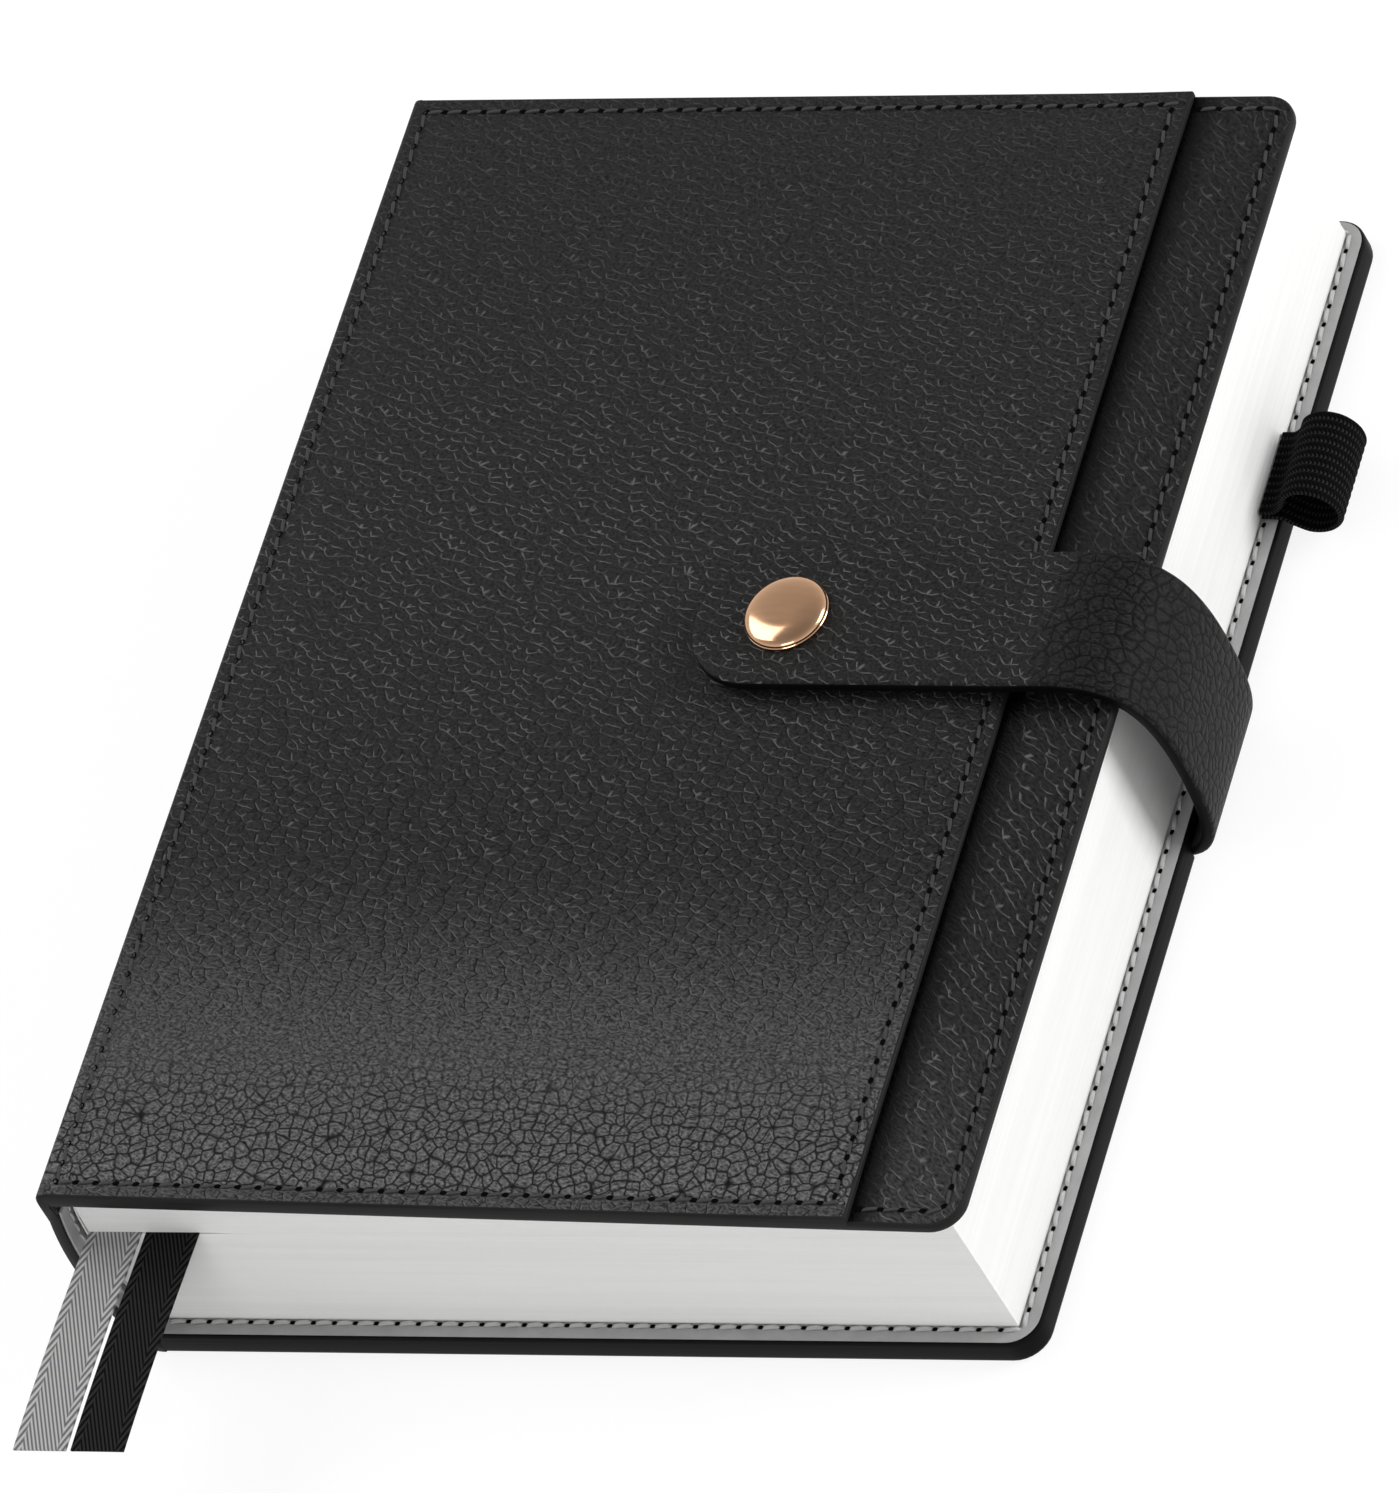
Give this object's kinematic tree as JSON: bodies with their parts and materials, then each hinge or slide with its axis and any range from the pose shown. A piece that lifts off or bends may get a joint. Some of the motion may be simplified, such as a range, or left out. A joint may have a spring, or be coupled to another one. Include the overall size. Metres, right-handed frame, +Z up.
{
  "type": "leather notebook cover",
  "caption": "Black leather notebook cover on a thick page block, with a front pocket, a snap strap closing over the fore-edge, an elastic pen loop and ribbon bookmarks.",
  "frame": {"origin": "middle of the back cover's outer face, on the surface the closed notebook lies on", "axes": "+X from the spine to the fore-edge, +Y from the tail to the head, +Z up from the back cover to the front cover"},
  "size_m": [0.1609, 0.2366, 0.0444],
  "materials": {
    "leather": "pebbled, satin",
    "lining": "smooth, matt",
    "board": "raw",
    "paper": "cut edges",
    "black_thread": "twisted",
    "grey_thread": "twisted",
    "rose_gold": "polished",
    "steel": "plated",
    "elastic": "ribbed",
    "grey_ribbon": "herringbone weave",
    "black_ribbon": "herringbone weave"
  },
  "bodies": {
    "back_cover": {"back_leather": "leather", "back_board": "board", "back_lining": "lining", "back_seam_thread": "grey_thread", "back_endpaper": "paper", "lower_leaves": "paper", "upper_leaves": "paper", "block_backing": "paper", "grey_ribbon_held": "grey_ribbon", "grey_ribbon_free": "grey_ribbon", "black_ribbon_held": "black_ribbon", "black_ribbon_free": "black_ribbon", "pen_loop": "elastic", "strap_anchor": "leather"},
    "spine": {"spine_leather": "leather", "spine_board": "board", "spine_lining": "lining", "spine_tail_thread": "grey_thread", "spine_head_thread": "grey_thread"},
    "front_cover": {"front_leather": "leather", "front_board": "board", "front_lining": "lining", "front_endpaper": "paper", "pocket_leather": "leather", "pocket_lining": "lining", "front_seam_thread": "black_thread", "pocket_mouth_thread": "black_thread", "snap_stud": "steel", "stud_rivet": "steel"},
    "strap_side": {"strap_side_leather": "leather", "strap_side_lining": "lining"},
    "strap_tab": {"strap_tab_leather": "leather", "strap_tab_lining": "lining", "snap_cap": "rose_gold", "snap_socket": "steel"}
  },
  "joints": [
    {"name": "spine_fold", "type": "hinge", "parent": "back_cover", "child": "spine", "pos_m": [-0.074, 0, 0.0003], "axis": [0, -1, 0], "range_deg": [0, 81]},
    {"name": "front_fold", "type": "hinge", "parent": "spine", "child": "front_cover", "pos_m": [-0.074, 0, 0.0406], "axis": [0, -1, 0], "range_deg": [0, 100]},
    {"name": "strap_swing", "type": "hinge", "parent": "back_cover", "child": "strap_side", "pos_m": [0.07789, 0, 0.00141], "axis": [0, 1, 0], "range_deg": [0, 86]},
    {"name": "strap_lift", "type": "hinge", "parent": "strap_side", "child": "strap_tab", "pos_m": [0.07576, 0, 0.03655], "axis": [0, 1, 0], "range_deg": [0, 82]}
  ]
}
